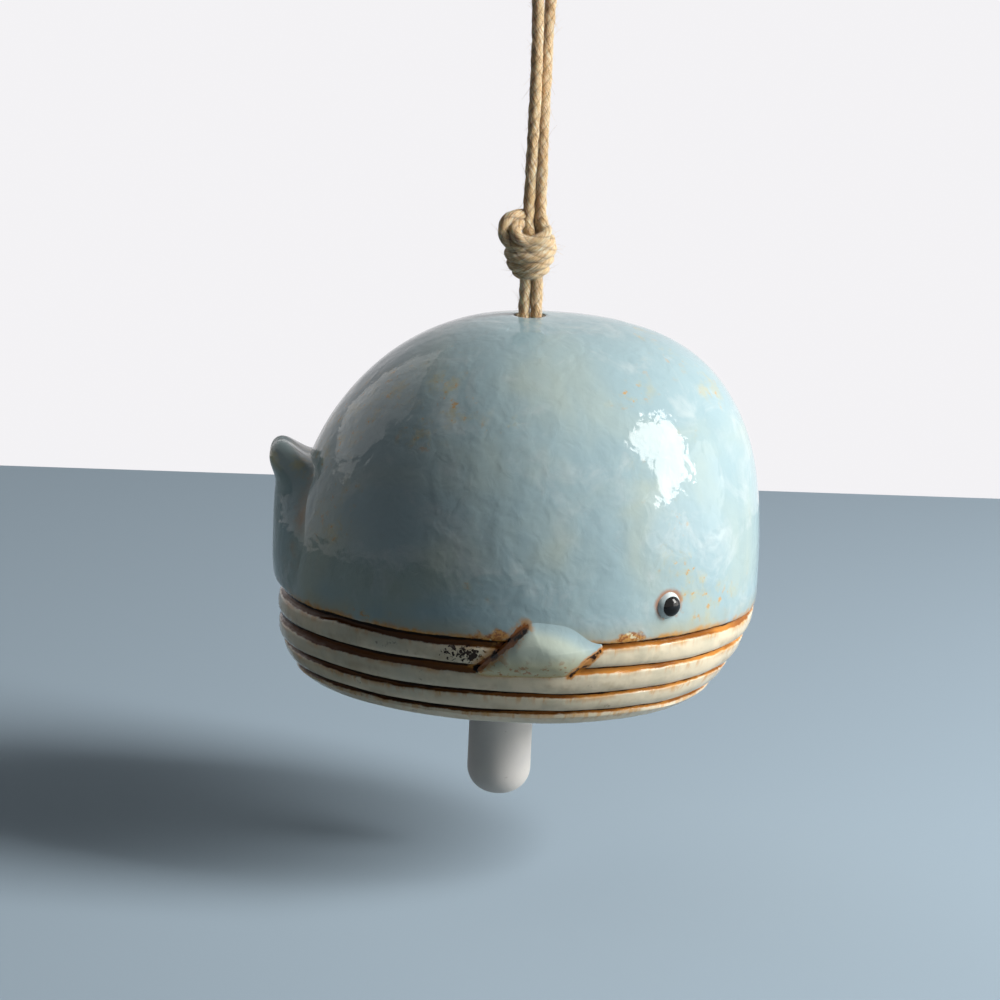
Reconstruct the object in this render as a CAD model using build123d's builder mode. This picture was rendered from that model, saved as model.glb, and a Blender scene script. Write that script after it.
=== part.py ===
"""Hanging ceramic bell in the shape of a whale, on a doubled and knotted jute cord.

Millimetres. The nose points along +X, the whale's left side along +Y and up is +Z.
The origin is the point inside the top of the cord's loop that bears on a hook.
"""
import math
import os

from build123d import *

# Cord and hook
strand = 2.8
strand_gap = 0.4
hook_rod = 5.0
loop_drop = 56.0
loop_turn = 62.0
swing_gap = 0.3

# Outer knot, on top of the bell
knot_width = 10.4
knot_height = 15.6
curl_reach = 8.0
curl_rise = 3.2
curl_radius = 2.1
neck_drop = 8.4

# Bell body: reach of the nose, the back and the sides from a middle a little ahead of the cord
bell_height = 86.4
body_ahead = 2.0
front_reach = 54.1
back_reach = 57.8
side_reach = 51.3
front_rim = 42.1
back_rim = 51.0
side_rim = 41.6
front_girth = 26.8
back_girth = 15.0
side_girth = 26.7
front_fullness = 2.83
back_fullness = 2.25
side_fullness = 2.3
belly_curve = 2.1
wall = 5.0
rim_round = 2.0
crown_radius = 3.0
ceiling_radius = 9.0
hole_gap = 0.45
hole_flare = 0.8

# Belly pleats, from the mouth line down to the rim
upper_band = 6.0
middle_band = 6.4
lower_band = 4.9
rim_band = 4.2
pleat_depth = 0.9
pleat_share = 0.36

# Tail: ribs of a stem up the back that leans out into a small fluke with a notched tip
tip_height = 55.2
foot_rise = 0.5
foot_proud = 1.3
foot_half_width = 20.0
foot_depth = 31.0
stem_below_tip = 15.2
stem_proud = 4.5
stem_half_width = 19.5
stem_depth = 31.0
neck_below_tip = 8.7
neck_proud = 6.1
neck_half_width = 14.0
neck_depth = 28.0
fluke_clear = 1.4
fluke_proud = 9.8
fluke_half_width = 8.4
fluke_depth = 15.0
fluke_tilt = 12.0
tip_proud = 10.5
tip_half_width = 7.0
tip_depth = 12.5
tip_further_tilt = 6.0
tip_round = 2.0
notch_radius = 3.4
notch_depth = 1.6

# Flippers
flipper_back = -12.4
flipper_front = 17.4
flipper_low = 13.1
flipper_high = 26.9
flipper_top_back = -0.6
flipper_low_front = 8.8
flipper_thickness = 2.8
flipper_corner = 2.4
flipper_shoulder = 5.0
flipper_round = 1.4

# Eyes
eye_forward = 29.4
eye_height = 29.2
eye_radius = 3.3
eye_sink = 1.3
pupil_radius = 2.1
pupil_depth = 1.0
pupil_proud = 0.2

# Inner stop knot and its cut ends
stop_width = 10.4
stop_height = 12.0
tail_end_length = 11.0
tail_end_slant = 40.0

# Clapper
clapper_width = 15.0
clapper_length = 60.0
clapper_drop = 28.6
clapper_back = 2.4
clapper_top_round = 5.0
clapper_low_round = 6.3
eyelet_depth = 7.5
eyelet_gap = 0.45
eyelet_flare = 0.7
sling_clear = 1.3
sling_bend = 3.0

# Levels and sizes that follow
strand_offset = (strand + strand_gap) / 2
knot_radius = knot_height / 2
knot_z = -loop_drop - knot_radius
crown_z = -loop_drop - knot_height - neck_drop
rim_z = crown_z - bell_height
ceiling_z = crown_z - wall
hole_radius = strand_offset + strand / 2 + hole_gap
mouth_height = upper_band + middle_band + lower_band + rim_band
stop_top_z = ceiling_z - swing_gap
stop_radius = stop_height / 2
stop_z = stop_top_z - stop_radius
clapper_radius = clapper_width / 2
clapper_low_z = rim_z - clapper_drop
clapper_top_z = clapper_low_z + clapper_length
eyelet_z = clapper_top_z - eyelet_depth
eyelet_radius = strand / 2 + eyelet_gap
hook_radius = (hook_rod + strand) / 2

FRONT = (front_reach, front_rim, front_girth, front_fullness)
BACK = (back_reach, back_rim, back_girth, back_fullness)
SIDE = (side_reach, side_rim, side_girth, side_fullness)
DOME_STEPS = 9


def extent(way, height, inset=0.0):
    """How far the body reaches one way at a height above the rim, less an inset."""
    reach, rim, girth, fullness = way
    if height < girth:
        fall = (girth - height) / girth
        return reach - inset - (reach - rim) * fall**belly_curve
    rise = min((height - girth) / (bell_height - inset - girth), 1.0)
    return (reach - inset) * (1 - rise**fullness) ** (1 / fullness)


def oval(height, front, back, side):
    """A level outline of two half ellipses that meet across the body's middle."""
    with BuildSketch(Plane.XY.offset(rim_z + height)) as outline:
        with BuildLine():
            EllipticalCenterArc((body_ahead, 0), front, side, start_angle=-90, arc_size=180)
            EllipticalCenterArc((body_ahead, 0), back, side, start_angle=90, arc_size=180)
        make_face()
    return outline.sketch


def section(height, inset=0.0):
    """The body's outline at a height above the rim, drawn in by an inset."""
    return oval(height, *(extent(way, height, inset) for way in (FRONT, BACK, SIDE)))


def lip(inset, sign):
    """Outlines that turn a quarter round under the rim, inwards (1) or outwards (-1)."""
    turns = [math.radians(turn) for turn in (0, 30, 60, 90)]
    return [
        section(rim_round * (1 - math.sin(turn)), inset + sign * rim_round * (1 - math.cos(turn)))
        for turn in turns
    ]


def dome_heights(low, high):
    """Heights that crowd together towards the top of a dome, without the top itself."""
    quarter = math.pi / 2 / DOME_STEPS
    return [low + (high - low) * math.sin(step * quarter) for step in range(DOME_STEPS)]


def skin(forward, height):
    """A plane on the body's right side, with its Z axis pointing out of the skin."""

    def inside(x, y, h):
        return (x / extent(FRONT, h)) ** 2 + (y / extent(SIDE, h)) ** 2

    nudge = 0.01
    y = -extent(SIDE, height) * math.sqrt(1 - (forward / extent(FRONT, height)) ** 2)
    here = inside(forward, y, height)
    out = Vector(
        inside(forward + nudge, y, height) - here,
        inside(forward, y + nudge, height) - here,
        inside(forward, y, height + nudge) - here,
    )
    return Plane(origin=(body_ahead + forward, y, rim_z + height), z_dir=out)


# Body: a lofted dome over a stack of pleats, each drawn in under the one above
with BuildPart() as body_form:
    crown = oval(bell_height, crown_radius, crown_radius, crown_radius)
    loft([section(height) for height in dome_heights(mouth_height, bell_height)] + [crown])
    top = mouth_height
    for band in (upper_band, middle_band, lower_band, rim_band - rim_round):
        swell = top - pleat_share * band
        low = top - band
        loft([section(top, pleat_depth), section(swell)])
        loft([section(swell), section((swell + low) / 2), section(low)])
        top = low
    loft(lip(0, 1))

with BuildPart() as bell_shell:
    add(body_form.part)
    ceiling_height = bell_height - wall
    ceiling = oval(ceiling_height, ceiling_radius, ceiling_radius, ceiling_radius)
    cavity_heights = [rim_round, mouth_height / 2] + dome_heights(mouth_height, ceiling_height)
    loft([section(height, wall) for height in cavity_heights] + [ceiling], mode=Mode.SUBTRACT)
    loft(lip(wall, -1), mode=Mode.SUBTRACT)
    with Locations((0, 0, crown_z)):
        Cylinder(hole_radius, 4 * wall, mode=Mode.SUBTRACT)
        Cone(
            hole_radius,
            hole_radius + hole_flare,
            hole_flare,
            align=(Align.CENTER, Align.CENTER, Align.MAX),
            mode=Mode.SUBTRACT,
        )


def rib(height, proud, depth, half_width, tilt=0.0):
    """A rib of the tail: its level or tilted plane, and the oval on it that ends behind the body."""
    inward = Vector(math.cos(math.radians(tilt)), 0, -math.sin(math.radians(tilt)))
    outer = Vector(body_ahead - extent(BACK, height) - proud, 0, rim_z + height)
    plane = Plane(origin=outer + inward * (depth / 2), x_dir=inward, z_dir=inward.cross(Vector(0, 1, 0)))
    with BuildSketch(plane) as outline:
        Ellipse(depth / 2, half_width)
    return plane, outline.sketch


# Tail: a stem that swells up the back and leans out into the fluke
with BuildPart() as tail:
    tip_plane, tip = rib(tip_height, tip_proud, tip_depth, tip_half_width, fluke_tilt + tip_further_tilt)
    ribs = [
        rib(mouth_height + foot_rise, foot_proud, foot_depth, foot_half_width)[1],
        rib(tip_height - stem_below_tip, stem_proud, stem_depth, stem_half_width)[1],
        rib(tip_height - neck_below_tip, neck_proud, neck_depth, neck_half_width)[1],
        rib(tip_height - tip_round - fluke_clear, fluke_proud, fluke_depth, fluke_half_width, fluke_tilt)[1],
        tip,
    ]
    loft(ribs, ruled=True)
    fillet(tail.faces().sort_by(Axis.Z)[-1].edges(), tip_round)
    with Locations(tip_plane.offset(notch_radius - notch_depth)):
        Cylinder(notch_radius, 2 * tip_depth, rotation=(0, 90, 0), mode=Mode.SUBTRACT)
    add(body_form.part, mode=Mode.SUBTRACT)


def girdle(height):
    """A level oval that stands off the body's sides by a flipper's thickness."""
    with BuildSketch(Plane.XY.offset(rim_z + height)) as outline:
        with Locations((body_ahead, 0)):
            Ellipse(*(extent(way, height, -flipper_thickness) for way in (FRONT, SIDE)))
    return outline.sketch


# Flippers: flat leaves of clay laid on the side, following its curve
with BuildPart() as right_flipper:
    with BuildSketch(Plane.XZ.offset(side_rim / 2)) as leaf:
        with BuildLine():
            FilletPolyline(
                (flipper_back, rim_z + flipper_low),
                (flipper_low_front, rim_z + flipper_low),
                (flipper_front, rim_z + flipper_high - (flipper_high - flipper_low) / 2),
                (flipper_front - flipper_shoulder, rim_z + flipper_high),
                (flipper_top_back, rim_z + flipper_high),
                close=True,
                radius=[flipper_corner, flipper_corner, flipper_corner, flipper_shoulder, flipper_shoulder],
            )
        make_face()
    extrude(amount=side_reach)
    reach_low = flipper_low - flipper_corner
    reach_high = flipper_high + flipper_corner
    slab_heights = [reach_low, (reach_low + reach_high) / 2, reach_high]
    loft([girdle(height) for height in slab_heights], mode=Mode.INTERSECT)
    fillet(right_flipper.faces().filter_by(GeomType.BSPLINE)[0].edges(), flipper_round)
    add(body_form.part, mode=Mode.SUBTRACT)

with BuildPart() as left_flipper:
    mirror(right_flipper.part, about=Plane.XZ)

# Eyes: small balls of clay pressed on the skin, each with a black bead let into it
eye_plane = skin(eye_forward, eye_height).offset(-eye_sink)
pupil_plane = eye_plane.offset(eye_radius - pupil_depth)

with BuildPart() as right_eye:
    with Locations(eye_plane):
        Sphere(eye_radius)
    add(body_form.part, mode=Mode.SUBTRACT)
    with BuildSketch(pupil_plane):
        Circle(pupil_radius)
    extrude(amount=eye_radius, mode=Mode.SUBTRACT)

with BuildPart() as right_pupil:
    with BuildSketch(pupil_plane):
        Circle(pupil_radius)
    extrude(amount=eye_radius)
    with Locations(eye_plane):
        Sphere(eye_radius + pupil_proud, mode=Mode.INTERSECT)

with BuildPart() as left_eye:
    mirror(right_eye.part, about=Plane.XZ)

with BuildPart() as left_pupil:
    mirror(right_pupil.part, about=Plane.XZ)

# Hanging loop: one strand up over the hook and down again, both legs into the outer knot
hook_z = strand / 2 - hook_radius
loop_plane = Plane(origin=(0, 0, 0), x_dir=Vector(1, 0, 0).rotate(Axis.Z, loop_turn),
                   z_dir=Vector(0, -1, 0).rotate(Axis.Z, loop_turn))
leg_span = math.hypot(strand_offset, knot_z - hook_z)
leg_angle = math.degrees(math.atan2(knot_z - hook_z, strand_offset) + math.acos(hook_radius / leg_span))
with BuildPart() as hanging_loop:
    with BuildLine(loop_plane) as loop_path:
        bight = CenterArc((0, hook_z), hook_radius, leg_angle, 180 - 2 * leg_angle)
        Line((strand_offset, knot_z), bight @ 0)
        Line(bight @ 1, (-strand_offset, knot_z))
    with BuildSketch(Plane(origin=loop_path.wire() @ 0, z_dir=loop_path.wire() % 0)):
        Circle(strand / 2)
    sweep(path=loop_path.wire())
    with Locations((0, 0, knot_z)):
        Sphere(knot_radius + swing_gap, mode=Mode.SUBTRACT)


def end_arc(waist, end, radius, sign):
    """The middle and last points of a round end's arc about the knot's centre."""
    half = math.atan2(waist, end) / 2
    return (radius * math.sin(half), sign * radius * math.cos(half)), (waist, sign * end)


def wrapped_profile(centre_z, radius, height, flat_top):
    """Half the outline of a knot: round ends, and sides that bulge once for each wrap."""
    waist = radius - strand / 4
    tip = height / 2
    end = math.sqrt(tip**2 - waist**2)
    wraps = round(2 * end / strand)
    step = 2 * end / wraps
    with BuildSketch(Plane(origin=(0, 0, centre_z), x_dir=(1, 0, 0), z_dir=(0, -1, 0))) as profile:
        with BuildLine():
            Line((0, tip), (0, -tip))
            ThreePointArc((0, -tip), *end_arc(waist, end, tip, -1))
            for wrap in range(wraps):
                low = -end + wrap * step
                ThreePointArc((waist, low), (radius, low + step / 2), (waist, low + step))
            if flat_top:
                Polyline((waist, end), (waist, tip), (0, tip))
            else:
                ThreePointArc((0, tip), *end_arc(waist, end, tip, 1))
        make_face()
    return profile.sketch


# Outer knot: wraps of cord between round ends, with a rolled curl on its tail side
with BuildPart() as outer_knot:
    revolve(wrapped_profile(knot_z, knot_width / 2, knot_height, False), axis=Axis.Z)
    curl_x = strand / 2 + curl_radius - curl_reach
    with Locations(Plane(origin=(curl_x, 0, knot_z + curl_rise), z_dir=(0, 1, 0))):
        Torus(curl_radius, strand / 2)

# Neck: two strands through the hole, from the outer knot down to the stop knot
with BuildPart() as neck_cord:
    with BuildSketch(Plane.XY.offset(stop_top_z)):
        with Locations((strand_offset, 0), (-strand_offset, 0)):
            Circle(strand / 2)
    extrude(amount=knot_z - stop_top_z)
    with Locations((0, 0, knot_z)):
        Sphere(knot_radius + swing_gap, mode=Mode.SUBTRACT)

# Stop knot: bears on the ceiling round the hole, with the cord's two cut ends
with BuildPart() as inner_knot:
    revolve(wrapped_profile(stop_z, stop_width / 2, stop_height, True), axis=Axis.Z)
    for side in (1, -1):
        slant = Vector(side, 0, 0).rotate(Axis.Y, side * tail_end_slant)
        with BuildSketch(Plane(origin=(0, 0, stop_z), z_dir=slant)):
            Circle(strand / 2)
        extrude(amount=stop_width / 2 + tail_end_length)

# Clapper cord: a sling from the stop knot, through the clapper's eyelet and back
with BuildPart() as clapper_cord:
    sling_half = clapper_radius + strand / 2 + sling_clear
    with BuildLine(Plane.YZ.offset(-clapper_back)) as sling_path:
        FilletPolyline(
            (strand_offset, stop_z),
            (sling_half, eyelet_z),
            (-sling_half, eyelet_z),
            (-strand_offset, stop_z),
            radius=sling_bend,
        )
    with BuildSketch(Plane(origin=sling_path.wire() @ 0, z_dir=sling_path.wire() % 0)):
        Circle(strand / 2)
    sweep(path=sling_path.wire())
    with Locations((0, 0, stop_z)):
        Sphere(stop_radius + swing_gap, mode=Mode.SUBTRACT)

# Clapper: a porcelain rod with rounded ends and an eyelet across its top
with BuildPart() as clapper:
    with Locations((-clapper_back, 0, clapper_low_z)):
        Cylinder(clapper_radius, clapper_length, align=(Align.CENTER, Align.CENTER, Align.MIN))
    fillet(clapper.edges().sort_by(Axis.Z)[-1], clapper_top_round)
    fillet(clapper.edges().group_by(Axis.Z)[0], clapper_low_round)
    with Locations((-clapper_back, 0, eyelet_z)):
        Cylinder(eyelet_radius, 2 * clapper_width, rotation=(90, 0, 0), mode=Mode.SUBTRACT)
    for side in (1, -1):
        with Locations(Plane(origin=(-clapper_back, side * clapper_radius, eyelet_z), z_dir=(0, side, 0))):
            Cone(
                eyelet_radius,
                eyelet_radius + eyelet_flare,
                eyelet_flare,
                align=(Align.CENTER, Align.CENTER, Align.MAX),
                mode=Mode.SUBTRACT,
            )

PIECES = {
    "bell_shell": bell_shell,
    "tail": tail,
    "right_flipper": right_flipper,
    "left_flipper": left_flipper,
    "right_eye": right_eye,
    "left_eye": left_eye,
    "right_pupil": right_pupil,
    "left_pupil": left_pupil,
    "hanging_loop": hanging_loop,
    "outer_knot": outer_knot,
    "neck_cord": neck_cord,
    "inner_knot": inner_knot,
    "clapper_cord": clapper_cord,
    "clapper": clapper,
}

os.makedirs("parts", exist_ok=True)
for name, piece in PIECES.items():
    piece.part.label = name
    export_step(piece.part, f"parts/{name}.step")

print("loop length", round(loop_path.wire().length, 1), "bend radius", hook_radius)
print("sling length", round(sling_path.wire().length, 1), "bend radius", sling_bend)
bell = ("bell_shell", "tail", "right_flipper", "left_flipper", "right_eye", "left_eye")
moments = [PIECES[name].part.center(CenterOf.MASS).X * PIECES[name].part.volume for name in bell]
lean = sum(moments) / sum(PIECES[name].part.volume for name in bell)
print("bell's weight ahead of the cord's axis", round(lean, 2))
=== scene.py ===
"""Looks of the hanging whale bell: a glazed clay whale, its jute cord and its porcelain clapper."""
import math
import random

import bmesh
import bpy
import numpy as np
from mathutils import Matrix, Vector, noise


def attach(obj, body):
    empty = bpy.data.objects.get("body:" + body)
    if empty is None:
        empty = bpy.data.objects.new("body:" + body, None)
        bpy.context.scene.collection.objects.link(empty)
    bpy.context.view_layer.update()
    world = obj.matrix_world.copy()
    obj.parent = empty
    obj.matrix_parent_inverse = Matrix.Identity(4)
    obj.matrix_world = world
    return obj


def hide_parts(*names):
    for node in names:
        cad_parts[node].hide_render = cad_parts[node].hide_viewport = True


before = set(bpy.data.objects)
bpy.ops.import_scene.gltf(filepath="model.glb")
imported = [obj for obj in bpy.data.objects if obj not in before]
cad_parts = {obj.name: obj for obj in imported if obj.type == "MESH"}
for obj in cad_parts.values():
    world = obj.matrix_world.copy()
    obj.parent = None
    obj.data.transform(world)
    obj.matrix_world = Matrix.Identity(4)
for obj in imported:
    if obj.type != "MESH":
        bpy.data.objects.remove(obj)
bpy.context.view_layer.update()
MM = 0.001

# Camera: place, tilt and lens of the photograph's view
TARGET = Vector((-4.96, 0.0, -124.1)) * MM
DISTANCE = 794.4 * MM
YAW, PITCH, ROLL = (math.radians(turn) for turn in (-3.17, 12.69, 2.59))
LENS = 122.4


def make_camera():
    back = Vector((math.sin(YAW) * math.cos(PITCH), -math.cos(YAW) * math.cos(PITCH), math.sin(PITCH)))
    right = Vector((0, 0, 1)).cross(back).normalized()
    up = back.cross(right)
    across = math.cos(ROLL) * right + math.sin(ROLL) * up
    along = math.cos(ROLL) * up - math.sin(ROLL) * right
    camera = bpy.data.objects.new("camera", bpy.data.cameras.new("camera"))
    camera.data.lens = LENS
    camera.data.clip_start = 0.01
    axes = Matrix((across, along, back)).transposed().to_4x4()
    camera.matrix_world = Matrix.Translation(TARGET + DISTANCE * back) @ axes
    bpy.context.scene.collection.objects.link(camera)
    bpy.context.scene.camera = camera


make_camera()


def rgb(red, green, blue):
    """A colour given as it looks on a screen, 0 to 255, as the linear one that shaders take."""
    shares = [level / 255 for level in (red, green, blue)]
    linear = [share / 12.92 if share < 0.0405 else ((share + 0.055) / 1.055) ** 2.4 for share in shares]
    return (*linear, 1)


class Paint:
    """A node material: its surface, and short calls that add a node and give its output."""

    def __init__(self, name, **values):
        self.material = bpy.data.materials.new(name)
        self.material.use_nodes = True
        self.tree = self.material.node_tree
        self.surface = self.tree.nodes["Principled BSDF"]
        for socket, value in values.items():
            self.surface.inputs[socket.replace("_", " ")].default_value = value
        self.place = self.node("ShaderNodeTexCoord").outputs["Object"]

    def node(self, kind, inputs=(), **settings):
        node = self.tree.nodes.new(kind)
        for name, value in settings.items():
            setattr(node, name, value)
        for key, value in dict(inputs).items():
            self.put(node.inputs[key], value)
        return node

    def put(self, socket, value):
        if isinstance(value, bpy.types.NodeSocket):
            self.tree.links.new(value, socket)
        else:
            socket.default_value = value

    def set(self, socket, value):
        self.put(self.surface.inputs[socket], value)

    def attr(self, name, output="Fac"):
        return self.node("ShaderNodeAttribute", attribute_name=name).outputs[output]

    def stretch(self, scale):
        return self.node("ShaderNodeMapping", {"Vector": self.place, "Scale": scale}).outputs[0]

    def noise(self, scale, detail=4.0, rough=0.55, vector=None, warp=0.0):
        inputs = {
            "Vector": vector or self.place, "Scale": scale, "Detail": detail,
            "Roughness": rough, "Distortion": warp,
        }
        return self.node("ShaderNodeTexNoise", inputs).outputs["Fac"]

    def sum(self, a, b, kind="ADD"):
        return self.node("ShaderNodeMath", {0: a, 1: b}, operation=kind).outputs[0]

    def times(self, a, b):
        return self.sum(a, b, "MULTIPLY")

    def less(self, a, b):
        return self.sum(a, b, "SUBTRACT")

    def size(self, a):
        return self.node("ShaderNodeMath", {0: a}, operation="ABSOLUTE").outputs[0]

    def rise(self, value, low, high, start=0.0, end=1.0):
        """A soft step of value from start at low to end at high."""
        inputs = {"Value": value, "From Min": low, "From Max": high, "To Min": start, "To Max": end}
        return self.node("ShaderNodeMapRange", inputs, interpolation_type="SMOOTHSTEP").outputs[0]

    def mix(self, share, a, b):
        node = self.node("ShaderNodeMix", data_type="RGBA")
        self.put(node.inputs[0], share)
        self.put(node.inputs[6], a)
        self.put(node.inputs[7], b)
        return node.outputs[2]

    def bump(self, height, strength, distance, under=None):
        inputs = {"Height": height, "Strength": strength, "Distance": distance}
        if under is not None:
            inputs["Normal"] = under
        return self.node("ShaderNodeBump", inputs).outputs[0]


def make_piece(name, points, faces, paint, values=None):
    """A mesh piece from points in millimetres, with named values kept at its points."""
    mesh = bpy.data.meshes.new(name)
    mesh.from_pydata((np.asarray(points, dtype=float) * MM).tolist(), [], faces)
    mesh.update()
    for label, numbers in (values or {}).items():
        numbers = np.asarray(numbers, dtype=np.float32)
        vector = numbers.ndim == 2
        layer = mesh.attributes.new(label, "FLOAT_VECTOR" if vector else "FLOAT", "POINT")
        layer.data.foreach_set("vector" if vector else "value", numbers.ravel())
    mesh.polygons.foreach_set("use_smooth", [True] * len(mesh.polygons))
    mesh.materials.append(paint.material)
    piece = bpy.data.objects.new(name, mesh)
    bpy.context.scene.collection.objects.link(piece)
    return piece


def grid_faces(rows, columns, closed_rows=False, start=0):
    """Quads between rows of points that each run in a ring of columns."""
    faces = []
    for row in range(rows if closed_rows else rows - 1):
        here, there = start + row * columns, start + (row + 1) % rows * columns
        for column in range(columns):
            after = (column + 1) % columns
            faces.append((here + column, there + column, there + after, here + after))
    return faces


def join_meshes(parts):
    """Points, faces and values of several meshes as one."""
    points, faces, values = [], [], {}
    count = 0
    for part_points, part_faces, part_values in parts:
        points.append(np.asarray(part_points))
        faces += [tuple(count + corner for corner in face) for face in part_faces]
        for label, numbers in part_values.items():
            values.setdefault(label, []).append(np.asarray(numbers))
        count += len(part_points)
    return np.concatenate(points), faces, {label: np.concatenate(lists) for label, lists in values.items()}


def swirl(points, scale, seed=0.0):
    """Smooth noise, about -1 to 1, at points in millimetres; scale is the size of its lumps."""
    shift = Vector((seed * 17.3, seed * 5.1, seed * 9.7))
    spots = np.asarray(points, dtype=float).tolist()
    return np.array([noise.noise(Vector(spot) / scale + shift) for spot in spots])


# Jute: three loosely twisted plies of streaky tan fibre, with loose hairs
STRAND = 2.8
KNOT = np.array((0.0, 0.0, -63.8))
STOP = np.array((0.0, 0.0, -91.3))
EYELET = np.array((-2.4, 0.0, -142.5))
PLIES = 3
PLY_PITCH = 10.5
FIBRE_PITCH = 15.0
STRAND_SIDES, STRAND_STEP, SLACK = 32, 0.4, 0.1
LUMPS_OF_FIBRE, PLY_OFFSET = 0.07, 0.16
HAIR_REACH, HAIR_LIFT, HAIR_WIDTH = (1.2, 4.6), (0.02, 0.5), (0.025, 0.05)


def jute_paint():
    paint = Paint("jute", Roughness=0.85, Sheen_Weight=0.4, Sheen_Roughness=0.5, Specular_IOR_Level=0.2,
                  Subsurface_Weight=0.3, Subsurface_Scale=0.002, Subsurface_Radius=(1.0, 0.65, 0.4))
    fibre = paint.attr("fibre", "Vector")
    groove = paint.attr("groove")
    thick = paint.noise(2.4, 3.0, 0.6, fibre)
    thin = paint.noise(8.5, 4.0, 0.7, fibre)
    streak = paint.sum(paint.times(thick, 0.45), paint.times(thin, 0.55))
    colour = paint.mix(paint.rise(streak, 0.38, 0.49), rgb(142, 100, 58), rgb(240, 204, 152))
    colour = paint.mix(paint.rise(streak, 0.5, 0.6), colour, rgb(255, 246, 222))
    warm = paint.rise(paint.noise(160, 2.0, 0.5), 0.5, 0.75, 0.0, 0.35)
    colour = paint.mix(warm, colour, rgb(228, 182, 122))
    # Painted shade: the grooves between the plies are darkened
    colour = paint.mix(paint.rise(groove, 0.3, 1.0, 0.0, 0.45), colour, rgb(122, 84, 48))
    paint.set("Base Color", colour)
    paint.set("Normal", paint.bump(streak, 1.0, 0.0009))
    return paint


JUTE = jute_paint()


def follow(name, route):
    """Points along the smooth NURBS line that a route's points control."""
    curve = bpy.data.curves.new(name, "CURVE")
    curve.dimensions = "3D"
    curve.resolution_u = 20
    spline = curve.splines.new("NURBS")
    spline.points.add(len(route) - 1)
    for point, place in zip(spline.points, route):
        point.co = (*(float(value) * MM for value in place), 1)
    spline.order_u = 3
    spline.use_endpoint_u = True
    line = bpy.data.objects.new(name, curve)
    mesh = bpy.data.meshes.new_from_object(line)
    points = np.array([vertex.co[:] for vertex in mesh.vertices]) / MM
    bpy.data.objects.remove(line)
    bpy.data.meshes.remove(mesh)
    return points


def frames_along(points):
    """Two steady cross directions along a line."""
    tangents = np.gradient(points, axis=0)
    tangents /= np.linalg.norm(tangents, axis=1)[:, None]
    across = np.cross(tangents[0], (0.3, 0.9, 0.2))
    ones, twos = [], []
    for tangent in tangents:
        across = across - tangent * np.dot(across, tangent)
        across /= np.linalg.norm(across)
        ones.append(across)
        twos.append(np.cross(tangent, across))
    return np.array(ones), np.array(twos)


def strand_mesh(points, seed, phase):
    """A twisted strand of three plies along a line: points, faces and values for its paint."""
    steps = np.linalg.norm(np.diff(points, axis=0), axis=1)
    keep = np.concatenate(([True], steps > 1e-6))
    points = points[keep]
    length = np.concatenate(([0], np.cumsum(np.linalg.norm(np.diff(points, axis=0), axis=1))))
    count = max(6, int(length[-1] / STRAND_STEP))
    even = np.linspace(0, length[-1], count)
    line = np.stack([np.interp(even, length, points[:, axis]) for axis in range(3)], axis=1)
    ones, twos = frames_along(line)
    angles = np.arange(STRAND_SIDES) / STRAND_SIDES * 2 * math.pi
    offset, ply = PLY_OFFSET * STRAND / 2, (1 - PLY_OFFSET) * STRAND / 2
    end = np.minimum(even, length[-1] - even)
    taper = np.sqrt(np.clip(end / (0.35 * STRAND), 0.02, 1))
    lumps = 1 + SLACK * swirl(line, 4.0, seed)
    rows, fibres, grooves = [], [], []
    for step in range(count):
        turn = 2 * math.pi * even[step] / PLY_PITCH + phase
        lobe = (angles - turn + math.pi / PLIES) % (2 * math.pi / PLIES) - math.pi / PLIES
        radius = offset * np.cos(lobe) + np.sqrt(ply**2 - (offset * np.sin(lobe)) ** 2)
        grooves.append(np.abs(lobe) / (math.pi / PLIES))
        spin = angles + 2 * math.pi * even[step] / FIBRE_PITCH
        drift = np.full(STRAND_SIDES, even[step] * 0.11)
        across, up = np.cos(spin) * STRAND / 2, np.sin(spin) * STRAND / 2
        fibres.append(np.stack((across + seed * 3.1, up, drift), axis=1))
        radius = radius * taper[step] * lumps[step] * (1 + LUMPS_OF_FIBRE * swirl(fibres[-1], 0.7, seed))
        ring = np.cos(angles)[:, None] * ones[step] + np.sin(angles)[:, None] * twos[step]
        rows.append(line[step] + radius[:, None] * ring)
    mesh_points = np.concatenate(rows + [line[:1], line[-1:]])
    first, last = count * STRAND_SIDES, count * STRAND_SIDES + 1
    end_ring = first - STRAND_SIDES
    faces = grid_faces(count, STRAND_SIDES)
    for column in range(STRAND_SIDES):
        after = (column + 1) % STRAND_SIDES
        faces.append((first, column, after))
        faces.append((last, end_ring + after, end_ring + column))
    grooves = np.clip((np.concatenate(grooves) - 0.55) / 0.45, 0, 1)
    values = {
        "fibre": np.concatenate(fibres + [fibres[0][:1], fibres[-1][:1]]),
        "groove": np.concatenate((grooves, grooves[:1], grooves[-1:])),
    }
    return mesh_points, faces, values


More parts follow.
